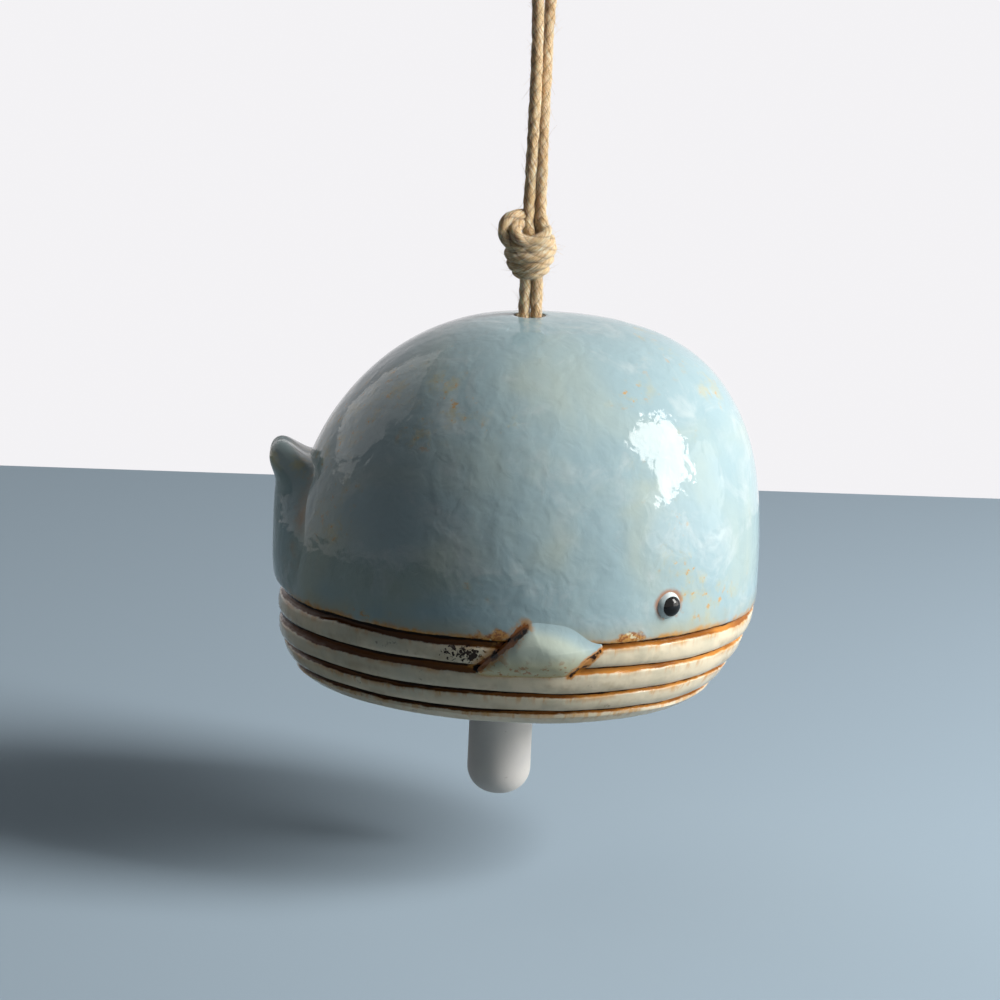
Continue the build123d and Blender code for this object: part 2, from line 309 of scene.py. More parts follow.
def hair_mesh(lines, count, seed):
    """Loose fibres that leave strands at a shallow angle and curl."""
    rng = random.Random(seed)
    parts = []
    for _ in range(count):
        line = rng.choice(lines)
        place = rng.uniform(0.03, 0.97) * (len(line) - 2)
        low = int(place)
        base = line[low] + (line[low + 1] - line[low]) * (place - low)
        tangent = line[low + 1] - line[low]
        tangent = tangent / max(np.linalg.norm(tangent), 1e-9) * rng.choice((-1, 1))
        side = np.cross(tangent, (rng.uniform(-1, 1), rng.uniform(-1, 1), rng.uniform(-1, 1)))
        side /= np.linalg.norm(side)
        third = np.cross(tangent, side)
        length = rng.uniform(*HAIR_REACH)
        bend = rng.uniform(-0.5, 0.5)
        lift = rng.uniform(*HAIR_LIFT)
        width = rng.uniform(*HAIR_WIDTH)
        points = []
        for step in range(7):
            share = step / 6
            at = base + side * (STRAND / 2 * 0.95 + lift * length * share**1.4)
            at = at + tangent * length * share * 0.8 + third * bend * length * share**2
            thin = width * (1 - 0.7 * share)
            for corner in range(3):
                angle = corner * 2.094
                way = math.cos(angle) * third + math.sin(angle) * (side - tangent) * 0.7
                points.append(at + thin * way)
        fibre = np.full((21, 3), (rng.uniform(0, 5), rng.uniform(0, 5), 0.0))
        parts.append((points, grid_faces(7, 3), {"fibre": fibre, "groove": np.zeros(21)}))
    return join_meshes(parts)


def make_strands(name, routes, seed, body, node, hairs):
    """One piece of one or more strands and one piece of their loose hairs, riding on a body."""
    lines = [follow(f"{name}_{number}", route) for number, route in enumerate(routes)]
    parts = [strand_mesh(line, seed + number, seed * 1.7 + number * 2.1) for number, line in enumerate(lines)]
    points, faces, values = join_meshes(parts)
    piece = make_piece(name, points, faces, JUTE, values)
    points, faces, values = hair_mesh(lines, hairs, seed)
    fluff = make_piece(f"{name}_hairs", points, faces, JUTE, values)
    for part in (piece, fluff):
        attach(part, body)
    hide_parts(node)
    return piece, fluff, lines


def turned(half, height, turn):
    """The two places of a pair of strands, half a spread out from the cord's axis."""
    way = np.array((math.cos(math.radians(turn)), math.sin(math.radians(turn)), 0))
    return half * way + (0, 0, height), -half * way + (0, 0, height)


# Hanging loop: up from the outer knot, over the hook's place and down again
# Half spread, level and turn in degrees of its two sides
LOOP_LEVELS = (
    (1.4, -63.8, 0), (1.3, -52, 4), (1.2, -40, 16), (1.4, -27, 40), (2.7, -13, 60), (3.9, -4, 62),
)
LOOP_TOP = ((3.95, -0.5, 62), (2.2, 1.55, 62))


def make_loop():
    pairs = [turned(*level) for level in LOOP_LEVELS + LOOP_TOP]
    route = [pair[0] for pair in pairs] + [pair[1] for pair in reversed(pairs)]
    return make_strands("loop_strand", [route], 1, "loop", "hanging_loop", 420)


def make_outer_knot():
    """An overhand knot in the doubled cord: a rolled bight on its tail side over pressed wraps."""
    routes = [
        # The bight's outer strand, up over the left and back under the legs
        [(-0.6, 1.2, 6.6), (-3.6, -0.9, 7.3), (-6.8, -2.0, 6.0), (-7.2, -2.2, 2.6), (-5.6, -2.4, 0.2),
         (-2.6, -3.4, -0.6), (0.8, -3.8, -0.2), (3.6, -2.6, 0.9), (3.9, 1.0, 1.6), (0.0, 3.4, 1.0)],
        # Its inner strand, rolled through the bight
        [(0.2, 1.8, 4.6), (-2.8, -0.4, 5.2), (-4.9, -2.8, 4.0), (-3.7, -3.9, 1.9), (-1.2, -3.9, 1.0),
         (1.4, -3.6, 1.9), (3.2, -2.0, 3.4), (2.2, 0.8, 4.4)],
        # Upper wraps
        [(-3.2, 2.4, -0.4), (-5.4, 0.2, -1.4), (-5.2, -2.4, -2.4), (-1.8, -4.3, -2.7), (2.2, -4.0, -1.7),
         (4.4, -1.4, -0.6), (3.6, 2.2, -0.2), (0.4, 3.7, -0.6), (-3.4, 2.6, -2.4)],
        [(-3.0, 2.4, -2.6), (-4.9, 0.0, -3.7), (-4.2, -2.4, -4.9), (-0.9, -4.0, -4.7), (2.6, -3.4, -3.5),
         (4.0, -0.4, -2.7), (2.8, 2.6, -2.9), (-0.4, 3.4, -3.6), (-3.2, 2.0, -4.6)],
        # Lower wrap, drawn in to the neck
        [(-1.8, 2.4, -4.6), (-3.7, 0.2, -5.7), (-2.7, -2.2, -6.5), (0.4, -3.1, -6.1), (2.8, -1.6, -5.3),
         (2.6, 1.4, -5.1), (0.0, 2.7, -5.7)],
        # The legs, pressed in between the wraps
        [(-1.6, 0.0, 7.6), (-1.5, -0.6, 4.6), (-0.8, -1.4, 2.2), (-0.2, -1.0, -1.5), (-0.4, 0.0, -5.0)],
        [(1.6, 0.0, 7.6), (1.9, -0.7, 4.6), (2.7, -1.2, 2.4), (2.2, -0.8, -1.0), (1.2, 0.0, -5.0)],
    ]
    routes = [[KNOT + point for point in route] for route in routes]
    return make_strands("knot_strands", routes, 11, "knot", "outer_knot", 420)


def make_neck():
    levels = ((1.3, -70.3), (1.3, -75.0), (1.4, -80.0), (1.5, -86.0))
    routes = [[(side * half, 0.0, level) for half, level in levels] for side in (-1, 1)]
    return make_strands("neck_strands", routes, 31, "neck", "neck_cord", 80)


def make_stop_knot():
    """The knot under the ceiling, three wraps round the neck's strands, with two cut ends."""
    routes, per_turn = [], 12
    for level, radius, lean in ((3.4, 3.6, 0.5), (0.6, 3.8, -0.5), (-2.2, 3.6, 0.5)):
        ring = []
        for corner in range(per_turn + 2):
            angle = corner * 2 * math.pi / per_turn
            out = radius / math.cos(math.pi / per_turn)
            ring.append((out * math.cos(angle), out * math.sin(angle), level + lean * math.cos(angle)))
        routes.append(ring)
    for side in (1, -1):
        routes.append([
            (side * 0.8, 0, 1.5), (side * 4.6, 0.5 * side, -2.4),
            (side * 9.0, 0.2, -7.4), (side * 12.0, 0, -10.0),
        ])
    routes.append([(0.0, 0.6, 4.2), (0.6, 0.4, 0.0), (0.2, 0.0, -4.4)])
    routes = [[STOP + point for point in route] for route in routes]
    return make_strands("stop_strands", routes, 41, "neck", "inner_knot", 40)


def make_sling():
    half = [(1.6, STOP[2]), (3.6, -104.0), (8.0, -126.0), (10.2, -136.6), (10.2, EYELET[2]), (5.8, EYELET[2])]
    route = [(EYELET[0], y, z) for y, z in half] + [(EYELET[0], -y, z) for y, z in reversed(half)]
    return make_strands("sling_strand", [route], 51, "sling", "clapper_cord", 40)


loop, loop_hairs, loop_lines = make_loop()
knot, knot_hairs, _ = make_outer_knot()
neck, neck_hairs, _ = make_neck()
stop, stop_hairs, _ = make_stop_knot()
sling, sling_hairs, sling_lines = make_sling()

# Body: the same ovals as the CAD, in millimetres
BELL_HEIGHT, WALL, RIM_ROUND = 86.4, 5.0, 2.0
RIM_Z, AHEAD = -166.4, 2.0
FRONT, BACK, SIDE = (54.1, 42.1, 26.8, 2.83), (57.8, 51.0, 15.0, 2.25), (51.3, 41.6, 26.7, 2.3)
BELLY_CURVE = 2.1
BANDS = (6.0, 6.4, 4.9, 4.2)
MOUTH = sum(BANDS)
PLEAT_DEPTH = 0.9
CHANNELS, CHANNELS_BEHIND = (1.2, 1.2, 0.8, 0.9), (0.5, 1.0, 0.5, 0.2)
HOLE, HOLE_FLARE = 3.45, 0.35
COLUMNS = 448
# Section of a channel below its lip: shares of its width and of its depth
CHANNEL_SECTION = (
    (0, 1), (0.12, 1.15), (0.35, 1.2), (0.65, 1.05), (0.85, 0.75), (1.0, 0.35), (1.2, 0.06), (1.5, 0),
)


def extent(way, height, inset=0.0):
    """How far the body reaches one way at heights above the rim, less an inset."""
    reach, rim, girth, fullness = way
    height = np.asarray(height, dtype=float)
    fall = np.clip((girth - height) / girth, 0, None)
    rise = np.clip((height - girth) / (BELL_HEIGHT - inset - girth), 0, 1)
    high = (reach - inset) * (1 - rise**fullness) ** (1 / fullness)
    return np.where(height < girth, reach - inset - (reach - rim) * fall**BELLY_CURVE, high)


def reach_along(x, height, inset=0.0):
    return np.where(np.asarray(x) > AHEAD, extent(FRONT, height, inset), extent(BACK, height, inset))


def oval(angle, height, inset=0.0):
    """Places on the body's level outline."""
    along = np.where(np.cos(angle) > 0, extent(FRONT, height, inset), extent(BACK, height, inset))
    return AHEAD + along * np.cos(angle), extent(SIDE, height, inset) * np.sin(angle)


def dome_height(x, y, inset=0.0):
    """The height of the dome over places near its top."""
    low, high = np.full(np.shape(x), 30.0), np.full(np.shape(x), BELL_HEIGHT - inset)
    for _ in range(36):
        middle = (low + high) / 2
        along = np.maximum(reach_along(x, middle, inset), 1e-6)
        inside = ((x - AHEAD) / along) ** 2 + (y / np.maximum(extent(SIDE, middle, inset), 1e-6)) ** 2 < 1
        low, high = np.where(inside, middle, low), np.where(inside, high, middle)
    return (low + high) / 2


def side_skin(x, height):
    """How far out the skin of either side is at a place along the body."""
    share = (x - AHEAD) / reach_along(x, height)
    return extent(SIDE, height) * np.sqrt(np.clip(1 - share**2, 0, None))


# Flippers: outline along the body and up from the rim, rounded by cutting its corners
FLIPPER = ((-13.4, 12.8), (8.8, 12.8), (17.4, 20.8), (10.6, 26.9), (0.4, 27.2))
FLIPPER_THICKNESS = 2.8
REAR_CREASE = ((-11.2, 14.6), (-1.0, 25.4))
FRONT_CREASE = ((9.4, 13.4), (16.0, 20.0))


def rounded(outline, cuts=4, share=0.12):
    points = np.array(outline, dtype=float)
    for _ in range(cuts):
        after = np.roll(points, -1, axis=0)
        near, far = points + share * (after - points), after + share * (points - after)
        points = np.stack((near, far), axis=1).reshape(-1, 2)
        share = 0.25
    return points


def run_distance(x, height, start, end):
    """Distance of places from a straight run between two of the outline's corners."""
    (ax, az), (bx, bz) = start, end
    squared = (bx - ax) ** 2 + (bz - az) ** 2
    along = np.clip(((x - ax) * (bx - ax) + (height - az) * (bz - az)) / squared, 0, 1)
    return np.hypot(x - ax - along * (bx - ax), height - az - along * (bz - az))


# Eyes: on the body's sides, standing out along the skin
EYE_FORWARD, EYE_HEIGHT, EYE_RADIUS, EYE_SINK = 29.4, 29.2, 3.3, 1.3
PUPIL_RADIUS, PUPIL_PROUD = 2.4, 0.25


def eye_place():
    """Middle of the right eye's ball and the direction that it looks in."""
    def inside(x, y, height):
        return (x / extent(FRONT, height)) ** 2 + (y / extent(SIDE, height)) ** 2

    y = -extent(SIDE, EYE_HEIGHT) * math.sqrt(1 - (EYE_FORWARD / extent(FRONT, EYE_HEIGHT)) ** 2)
    nudge = 0.01
    here = inside(EYE_FORWARD, y, EYE_HEIGHT)
    out = np.array((
        inside(EYE_FORWARD + nudge, y, EYE_HEIGHT) - here,
        inside(EYE_FORWARD, y + nudge, EYE_HEIGHT) - here,
        inside(EYE_FORWARD, y, EYE_HEIGHT + nudge) - here,
    ))
    out /= np.linalg.norm(out)
    return np.array((AHEAD + EYE_FORWARD, float(y), RIM_Z + EYE_HEIGHT)) - EYE_SINK * out, out


EYE, EYE_OUT = eye_place()

# Tail: its middle line from foot to notch, each place with the height on the back that it is drawn out of
TAIL_LINE = (
    (-53.6, 21.4, 21.4), (-56.4, 21.6, 21.7), (-57.3, 22.8, 23.0), (-57.8, 26.0, 26.0), (-57.9, 32.0, 32.0),
    (-57.9, 38.0, 37.0), (-57.7, 43.0, 40.5), (-57.6, 46.0, 42.5), (-58.5, 48.3, 44.0), (-59.6, 50.6, 45.5),
    (-59.7, 53.2, 46.8), (-58.6, 55.4, 48.0), (-56.4, 56.0, 49.0), (-54.2, 54.6, 49.8), (-52.0, 53.0, 50.4),
    (-50.2, 51.9, 51.0), (-48.4, 51.8, 51.8), (-46.0, 52.8, 52.8),
)
STEM_HALF_WIDTH, FLUKE_HALF_WIDTH = 22.0, 15.5
# Heights on the back between which the stem narrows, lobes begin and end, and the sheet dips in
NARROWING, LOBES_BEGIN, LOBES_END, DIP = (34, 47), (40, 47), (55, 51), (50.2, 52.0)
UNDER_SKIN = 0.18


def eased(value, low, high):
    """A soft step from 0 at one value to 1 at another."""
    step = np.clip((value - low) / (high - low), 0, 1)
    return step * step * (3 - 2 * step)


def swell(points):
    """Broad swells and small dents of hand-formed clay, out from the body's middle."""
    away = points - np.array((AHEAD, 0.0, RIM_Z + 38))
    away /= np.linalg.norm(away, axis=1)[:, None]
    return away * (0.22 * swirl(points, 24, 1) + 0.05 * swirl(points, 8, 2))[:, None]


def make_shell(paint):
    """The bell's skin, pleats, rim, cavity and cord hole as one closed mesh."""
    angle = np.arange(COLUMNS) / COLUMNS * 2 * math.pi
    ring = np.stack((np.cos(angle) * 30, np.sin(angle) * 30, np.zeros(COLUMNS)), axis=1)
    # Edges of the pleats waver a little round the body
    edges = [MOUTH]
    for band in BANDS[:3]:
        edges.append(edges[-1] - band)
    edges = [level + 0.45 * swirl(ring, 14, 3 + number) + 0.15 * swirl(ring, 4, 8 + number)
             for number, level in enumerate(edges)]
    depths = [PLEAT_DEPTH * (1.0 + 0.4 * swirl(ring, 9, 21 + number)) for number in range(4)]
    behind = np.clip(0.5 - 0.9 * np.cos(angle), 0, 1)
    widths = []
    for number, (front, more) in enumerate(zip(CHANNELS, CHANNELS_BEHIND)):
        waver = 1.0 + 0.4 * swirl(ring, 11, 31 + number) + 0.15 * swirl(ring, 3, 41 + number)
        widths.append((front + more * behind) * waver)
    rows = []

    def add(x, y, height, drop, band, inside=0.0):
        full = np.ones(COLUMNS)
        rows.append((x * full, y * full, height * full, drop * full, band * full, inside * full))

    top_row, cavity_row = 68.0, 62
    for share in np.linspace(0, 1, 44)[:-1]:
        ring_x, ring_y = (HOLE + HOLE_FLARE) * np.cos(angle), (HOLE + HOLE_FLARE) * np.sin(angle)
        wide_x, wide_y = oval(angle, top_row)
        x, y = ring_x + share * (wide_x - ring_x), ring_y + share * (wide_y - ring_y)
        height = dome_height(x, y)
        add(x, y, height, edges[0] - height, 0)
    for share in np.linspace(0, 1, 46)[:-1]:
        height = top_row + share * (edges[0] + 1.2 - top_row)
        add(*oval(angle, height), height, edges[0] - height, 0)
    for above, inset in ((1.2, 0.0), (0.7, 0.02), (0.35, 0.1), (0.12, 0.26), (0.0, 0.5)):
        height = edges[0] + above
        add(*oval(angle, height, inset), height, -above, 0)
    for number, edge in enumerate(edges):
        band = edge - edges[number + 1] if number < 3 else edge - RIM_ROUND
        channel = widths[number]
        for share, depth in CHANNEL_SECTION:
            below = np.minimum(share * channel, band * (0.75 + 0.15 * share))
            height = edge - below
            add(*oval(angle, height, depth * depths[number]), height, below, number + 1)
        reached = below
        for share in (0.25, 0.5, 0.75, 0.9, 0.97, 1.0):
            below = reached + share * (band - reached)
            inset = -0.25 * math.sin(math.pi * share)
            if number < 3:
                inset += 0.45 * max(0.0, (share - 0.8) / 0.2) ** 2
            height = edge - below
            add(*oval(angle, height, inset), height, below, number + 1)
    for turn in np.radians((25, 50, 75, 90)):
        height, inset = RIM_ROUND * (1 - math.sin(turn)), RIM_ROUND * (1 - math.cos(turn))
        add(*oval(angle, height, inset), height, edges[3] - height, 4, 0.0)
    for turn in np.radians((90, 60, 30, 0)):
        height, inset = RIM_ROUND * (1 - math.sin(turn)), WALL - RIM_ROUND * (1 - math.cos(turn))
        add(*oval(angle, height, inset), height, 6.0, 5, 1.0)
    for height in np.linspace(RIM_ROUND, cavity_row, 26)[1:]:
        add(*oval(angle, height, WALL), height, 6.0, 5, 1.0)
    for share in np.linspace(0, 1, 22)[1:]:
        wide_x, wide_y = oval(angle, cavity_row, WALL)
        x = wide_x + share * (HOLE * np.cos(angle) - wide_x)
        y = wide_y + share * (HOLE * np.sin(angle) - wide_y)
        add(x, y, dome_height(x, y, WALL), 6.0, 5, 1.0)
    for height in (BELL_HEIGHT - WALL + 1.5, BELL_HEIGHT - 2.5, BELL_HEIGHT - HOLE_FLARE):
        add(HOLE * np.cos(angle), HOLE * np.sin(angle), height, 6.0, 5, 1.0)

    x, y, height, drop, band, inside = (np.concatenate([row[part] for row in rows]) for part in range(6))
    points = np.stack((x, y, RIM_Z + height), axis=1)
    skin = (inside < 0.5) & (height < BELL_HEIGHT - 1.5)
    points = points + swell(points) * skin[:, None]
    flank = (np.abs(y) > 30) & (inside < 0.5)
    mirrored = np.stack((points[:, 0], -np.abs(points[:, 1]), points[:, 2]), axis=1)
    eye = np.linalg.norm(np.cross(mirrored - EYE, EYE_OUT), axis=1)
    channel = np.concatenate([widths[min(max(int(row[4][0]) - 1, 0), 3)] for row in rows])
    values = {
        "drop": drop,
        "channel": channel,
        "band": band,
        "inside": inside,
        "crease": np.where(flank, run_distance(x, height, *REAR_CREASE), 30.0),
        "crack": np.where(flank, run_distance(x, height, *FRONT_CREASE), 30.0),
        "blister": np.where(flank, np.hypot((x + 13.8) / 6.4, (height - 17.9) / 2.6), 30.0),
        "smear": np.where(flank, np.minimum(np.hypot((x + 7.5) / 9.0, (height - 22.6) / 2.8),
                                            np.hypot((x - 21.5) / 5.5, (height - 22.4) / 2.2)), 30.0),
        "eye": np.where(np.linalg.norm(mirrored - EYE, axis=1) < 14, eye, 30.0),
        "back": x,
    }
    return make_piece("bell_skin", points, grid_faces(len(rows), COLUMNS, True), paint, values)


def make_tail(paint):
    """A sheet drawn out of the back: a broad stem below, two soft lobes and their saddle above."""
    line = follow("tail_line", [(x, base, height) for x, height, base in TAIL_LINE])
    near = np.pad(line, ((12, 12), (0, 0)), mode="edge")
    line = np.mean([near[shift:shift + len(line)] for shift in range(25)], axis=0)
    shares = np.linspace(-1.1, 1.1, 97)
    rows, prouds = [], []
    for x, base, height in line:
        half = STEM_HALF_WIDTH + (FLUKE_HALF_WIDTH - STEM_HALF_WIDTH) * eased(base, *NARROWING)
        lobe = eased(base, *LOBES_BEGIN) * eased(base, *LOBES_END)
        weight = np.clip(1 - np.abs(shares) ** (2.1 + 0.3 * lobe), 0, 1) ** (2.2 + 0.3 * lobe)
        weight = weight * (1 - 0.10 * lobe * np.exp(-((shares * half / 1.9) ** 2)))
        y = shares * half
        back, side = float(extent(BACK, base)), float(extent(SIDE, base))
        away = np.sqrt(np.clip(1 - (y / side) ** 2, 0, None))
        skin = AHEAD - back * away
        out = weight * (AHEAD - back - x) - UNDER_SKIN - eased(base, *DIP)
        level = RIM_Z + base + weight * (height - base)
        rows.append(np.stack((skin - out, y * (1 + out / 60), level), axis=1))
        prouds.append(weight * np.hypot(AHEAD - back - x, height - base))
    outer = len(rows)
    rows.append(rows[-1] + np.array((5.0, 0, 0)))
    rows.append(rows[0] + np.array((5.0, 0, 0)))
    prouds += [np.zeros(len(shares))] * 2
    count = len(shares)
    faces = []
    for row in range(len(rows)):
        here, there = row * count, (row + 1) % len(rows) * count
        for column in range(count - 1):
            faces.append((here + column, here + column + 1, there + column + 1, there + column))
    for column, turn in ((0, 1), (count - 1, -1)):
        faces.append(tuple(row * count + column for row in range(len(rows)))[::turn])
    points, proud = np.concatenate(rows), np.concatenate(prouds)
    points[: outer * count] += swell(points[: outer * count])
    values = {"proud": proud, "rise": points[:, 2] - RIM_Z}
    return make_piece("tail_form", points, faces, paint, values)


def sided(faces, side):
    """Faces as they are on the right, and turned over on the left."""
    return faces if side < 0 else [face[::-1] for face in faces]


def make_flipper(name, side, paint):
    """A leaf of clay pressed on the side: steep behind and in front, smoothed into the skin elsewhere."""
    outline = rounded(FLIPPER)
    spokes, rings = len(outline), 40
    middle = np.array((3.4, 19.6))
    flats, stands = [], []
    for share in np.linspace(0.02, 1.0, rings):
        flat = middle + (outline - middle) * share
        x, height = flat[:, 0], flat[:, 1]
        rear = run_distance(x, height, FLIPPER[0], FLIPPER[4])
        front = run_distance(x, height, FLIPPER[1], FLIPPER[2])
        foot, top = height - FLIPPER[0][1], FLIPPER[4][1] - height
        nose = run_distance(x, height, FLIPPER[2], FLIPPER[3])
        stand = np.full(spokes, FLIPPER_THICKNESS)
        for distance, reach in ((rear, 2.6), (front, 3.0)):
            step = np.clip(distance / reach, 0, 1)
            stand = stand * (step * (2 - step)) ** 0.5
        for distance, reach in ((foot, 4.0), (top, 7.5), (nose, 9.5)):
            step = np.clip((distance + 0.4) / reach, 0, 1)
            stand = stand * step**2 * (3 - 2 * step)
        flats.append(flat)
        stands.append(stand)
    # Ridges between the slopes are rubbed smooth, all but the outline
    stands = np.array(stands)
    for _ in range(40):
        around = (np.roll(stands, 1, axis=1) + np.roll(stands, -1, axis=1)) / 2
        along = (np.concatenate((stands[:1], stands[:-2])) + stands[1:]) / 2
        stands[:-1] = 0.3 * stands[:-1] + 0.35 * around[:-1] + 0.35 * along
    rows = [np.stack((flat[:, 0], side_skin(*flat.T) + stand - 0.3, RIM_Z + flat[:, 1]), axis=1)
            for flat, stand in zip(flats, stands)]
    sunk = rows[-1].copy()
    sunk[:, 1] -= 1.6
    rows.append(sunk)
    centre = np.array([[middle[0], rows[0][:, 1].mean(), RIM_Z + middle[1]]])
    points = np.concatenate(rows + [centre])
    faces = grid_faces(len(rows), spokes)
    tip = len(points) - 1
    faces += [(tip, column, (column + 1) % spokes) for column in range(spokes)]
    faces.append(tuple(reversed(range((len(rows) - 1) * spokes, len(rows) * spokes))))
    x, height = points[:, 0], points[:, 2] - RIM_Z
    values = {
        "crease": run_distance(x, height, *REAR_CREASE),
        "crack": run_distance(x, height, *FRONT_CREASE),
        "rise": height,
        "proud": np.concatenate((stands.ravel(), stands[-1], [stands[0].mean()])),
    }
    points += swell(points)
    points[:, 1] += 0.15 * swirl(points, 6, 9)
    points[:, 1] *= side
    return make_piece(name, points, sided(faces, side), paint, values)


def ball_grid(centre, out, radius, reach, rings, spokes, flatten=1.0):
    """A cap of a ball round a direction: points, faces and each point's angle from that direction."""
    across = np.cross(out, (0, 0, 1.0))
    across /= np.linalg.norm(across)
    upward = np.cross(across, out)
    points, turns = [centre + out * radius * flatten], [0.0]
    for ring in range(1, rings + 1):
        turn = reach * ring / rings
        for spoke in range(spokes):
            angle = spoke / spokes * 2 * math.pi
            around = math.cos(angle) * across + math.sin(angle) * upward
            points.append(centre + radius * (out * math.cos(turn) * flatten + around * math.sin(turn)))
            turns.append(turn)
    faces = [(0, 1 + column, 1 + (column + 1) % spokes) for column in range(spokes)]
    faces += grid_faces(rings, spokes, start=1)
    faces.append(tuple(reversed(range(1 + (rings - 1) * spokes, 1 + rings * spokes))))
    return np.array(points), faces, np.array(turns)


def make_eye(name, side, paint):
    points, faces, turns = ball_grid(EYE, EYE_OUT, EYE_RADIUS, math.radians(125), 26, 64)
    away = points - EYE
    points = points + away * 0.05 * swirl(points, 2.6, 4)[:, None]
    points[:, 1] *= -side
    return make_piece(name, points, sided(faces, side), paint, {"turn": turns})


def make_pupil(name, side, paint):
    sink = math.sqrt(EYE_RADIUS**2 - PUPIL_RADIUS**2) - 0.35
    flatten = (EYE_RADIUS + PUPIL_PROUD - sink) / PUPIL_RADIUS
    middle, reach = EYE + EYE_OUT * sink, math.radians(100)
    points, faces, _ = ball_grid(middle, EYE_OUT, PUPIL_RADIUS, reach, 18, 48, flatten)
    points[:, 1] *= -side
    return make_piece(name, points, sided(faces, side), paint)


def make_clapper(paint):
    """A cast porcelain rod, lathed, with an eyelet cut across its top."""
    radius, low, high, top_round, low_round = 7.5, -195.0, -135.0, 5.0, 6.3
    profile = []
    for turn in np.linspace(0, math.pi / 2, 14):
        inset, lift = low_round * (1 - math.sin(turn)), low_round * (1 - math.cos(turn))
        profile.append((radius - inset, low + lift))
    for height in np.linspace(low + low_round, high - top_round, 30)[1:-1]:
        profile.append((radius, height))
    for turn in np.linspace(0, math.pi / 2, 12):
        inset, fall = top_round * (1 - math.cos(turn)), top_round * (1 - math.sin(turn))
        profile.append((radius - inset, high - fall))
    around = 96
    angle = np.arange(around) / around * 2 * math.pi
    rows = [np.stack((EYELET[0] + r * np.cos(angle), r * np.sin(angle), np.full(around, z)), axis=1)
            for r, z in profile]
    points = np.concatenate(rows + [[(EYELET[0], 0, low)], [(EYELET[0], 0, high)]])
    count = len(rows) * around
    faces = [tuple(reversed(face)) for face in grid_faces(len(rows), around)]
    faces += [(count, (column + 1) % around, column) for column in range(around)]
    top = count - around
    faces += [(count + 1, top + column, top + (column + 1) % around) for column in range(around)]
    piece = make_piece("clapper_rod", points, faces, paint)
    mesh = bmesh.new()
    hole = 1.85 * MM
    bmesh.ops.create_cone(mesh, cap_ends=True, segments=48, radius1=hole, radius2=hole, depth=40 * MM)
    bmesh.ops.rotate(mesh, verts=mesh.verts, matrix=Matrix.Rotation(math.pi / 2, 3, "X"))
    bmesh.ops.translate(mesh, verts=mesh.verts, vec=Vector((EYELET * MM).tolist()))
    drill_mesh = bpy.data.meshes.new("drill")
    mesh.to_mesh(drill_mesh)
    mesh.free()
    drill = bpy.data.objects.new("drill", drill_mesh)
    bpy.context.scene.collection.objects.link(drill)
    cut = piece.modifiers.new("eyelet", "BOOLEAN")
    cut.operation, cut.object, cut.solver = "DIFFERENCE", drill, "EXACT"
    bpy.context.view_layer.update()
    cut_mesh = bpy.data.meshes.new_from_object(piece.evaluated_get(bpy.context.evaluated_depsgraph_get()))
    piece.modifiers.clear()
    piece.data = cut_mesh
    bpy.data.objects.remove(drill)
    return piece


# Glazes: pale grey-blue over a cream clay that breaks to rust and black where it pools or thins
ICE, SAGE, MIST = rgb(157, 182, 189), rgb(174, 188, 180), rgb(196, 207, 208)
CREAM, OCHRE, RUST = rgb(228, 216, 190), rgb(204, 148, 74), rgb(160, 94, 36)
UMBER, BLACK = rgb(84, 56, 32), rgb(22, 18, 15)
GLOSS, DULL = 0.18, 0.04
GLAZE = {"Roughness": 0.06, "Specular_IOR_Level": GLOSS}


def glaze_bump(paint):
    """Slow waves and fine dimples of a thick glaze."""
    waves = paint.noise(52, 2.0, 0.5)
    ripples = paint.noise(150, 2.0, 0.5, warp=0.4)
    under = paint.bump(waves, 0.12, 0.0016)
    under = paint.bump(ripples, 0.3, 0.0009, under)
    return paint.bump(paint.noise(330, 2.0, 0.5, warp=0.6), 0.2, 0.0004, under)


def ragged_edge(paint, distance, spread, scale=260):
    """A distance whose contours are frayed by noise."""
    return paint.sum(distance, paint.times(paint.less(paint.noise(scale, 4.0, 0.62), 0.5), spread))


def blue_glaze(paint):
    """The dome's colour: bluer and greener clouds, hanging streaks and a few rust specks."""
    clouds = paint.noise(24, 3.0, 0.5, warp=0.6)
    curds = paint.noise(75, 5.0, 0.65, warp=0.8)
    streaks = paint.noise(1.0, 4.0, 0.6, paint.stretch((160, 160, 20)))
    colour = paint.mix(paint.rise(clouds, 0.45, 0.7), ICE, SAGE)
    colour = paint.mix(paint.rise(curds, 0.5, 0.74, 0.0, 0.55), colour, MIST)
    colour = paint.mix(paint.rise(streaks, 0.5, 0.72, 0.0, 0.3), colour, rgb(144, 170, 179))
    patches = paint.rise(paint.noise(34, 3.0), 0.54, 0.66)
    grain = paint.times(paint.rise(paint.noise(240, 4.0, 0.65), 0.48, 0.66, 0.0, 0.5), patches)
    colour = paint.mix(grain, colour, rgb(192, 182, 134))
    specks = paint.rise(paint.noise(480, 3.0, 0.6), 0.6, 0.7)
    return paint.mix(paint.times(paint.times(specks, patches), 0.7), colour, OCHRE)


